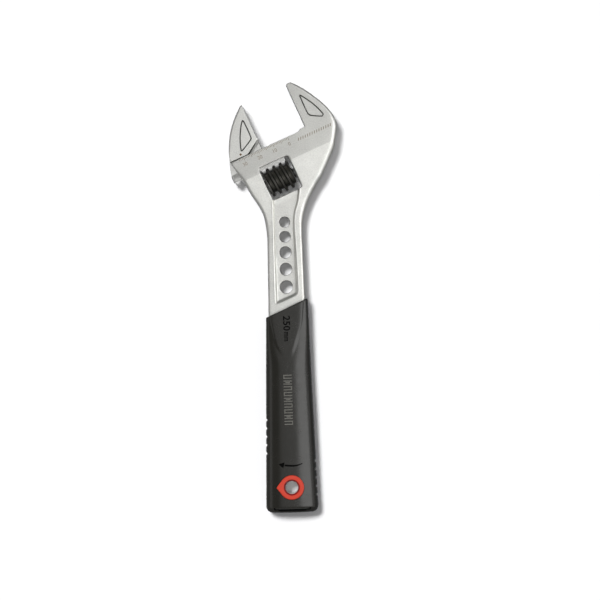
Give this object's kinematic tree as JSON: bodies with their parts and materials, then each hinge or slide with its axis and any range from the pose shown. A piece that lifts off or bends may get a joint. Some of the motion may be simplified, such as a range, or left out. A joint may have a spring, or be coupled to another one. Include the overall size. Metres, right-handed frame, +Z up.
{
  "type": "adjustable wrench",
  "caption": "Adjustable wrench: forged head with a fixed jaw and a worm-driven sliding jaw, pierced shank, and a soft two-part grip with a hang hole.",
  "frame": {"origin": "under the middle of the whole tool, on the surface it lies on", "axes": "+Y along the handle towards the head, +Z up out of the tool's flat side, +X towards the fixed jaw's side"},
  "size_m": [0.0674, 0.266, 0.018],
  "materials": {
    "satin_steel": "fine blasted satin chrome",
    "ground_steel": "fine ground satin chrome",
    "black_oxide": "oiled black oxide on knurled steel",
    "plain_steel": "turned steel",
    "spring_steel": "drawn spring wire",
    "red_plastic": "moulded satin red plastic",
    "soft_black": "fine-textured soft-touch black"
  },
  "bodies": {
    "wrench_body": {"body": "satin_steel", "worm_pin": "plain_steel", "worm_spring": "spring_steel", "grip_core": "red_plastic", "grip_cover": "soft_black"},
    "sliding_jaw": {"movable_jaw": "ground_steel"},
    "thumb_worm": {"worm": "black_oxide"}
  },
  "joints": [
    {"name": "jaw_slide", "type": "slide", "parent": "wrench_body", "child": "sliding_jaw", "axis": [0.9205, 0.3907, 0], "range_m": [-0.001, 0.0297]},
    {"name": "worm_spin", "type": "hinge", "parent": "wrench_body", "child": "thumb_worm", "pos_m": [-0.00304, 0.07353, 0.009], "axis": [0.9205, 0.3907, 0], "range_deg": [-2460, 84]}
  ],
  "couplings": [
    {"joint": "worm_spin", "follows": "jaw_slide", "rad_per_m": -1444.4}
  ]
}
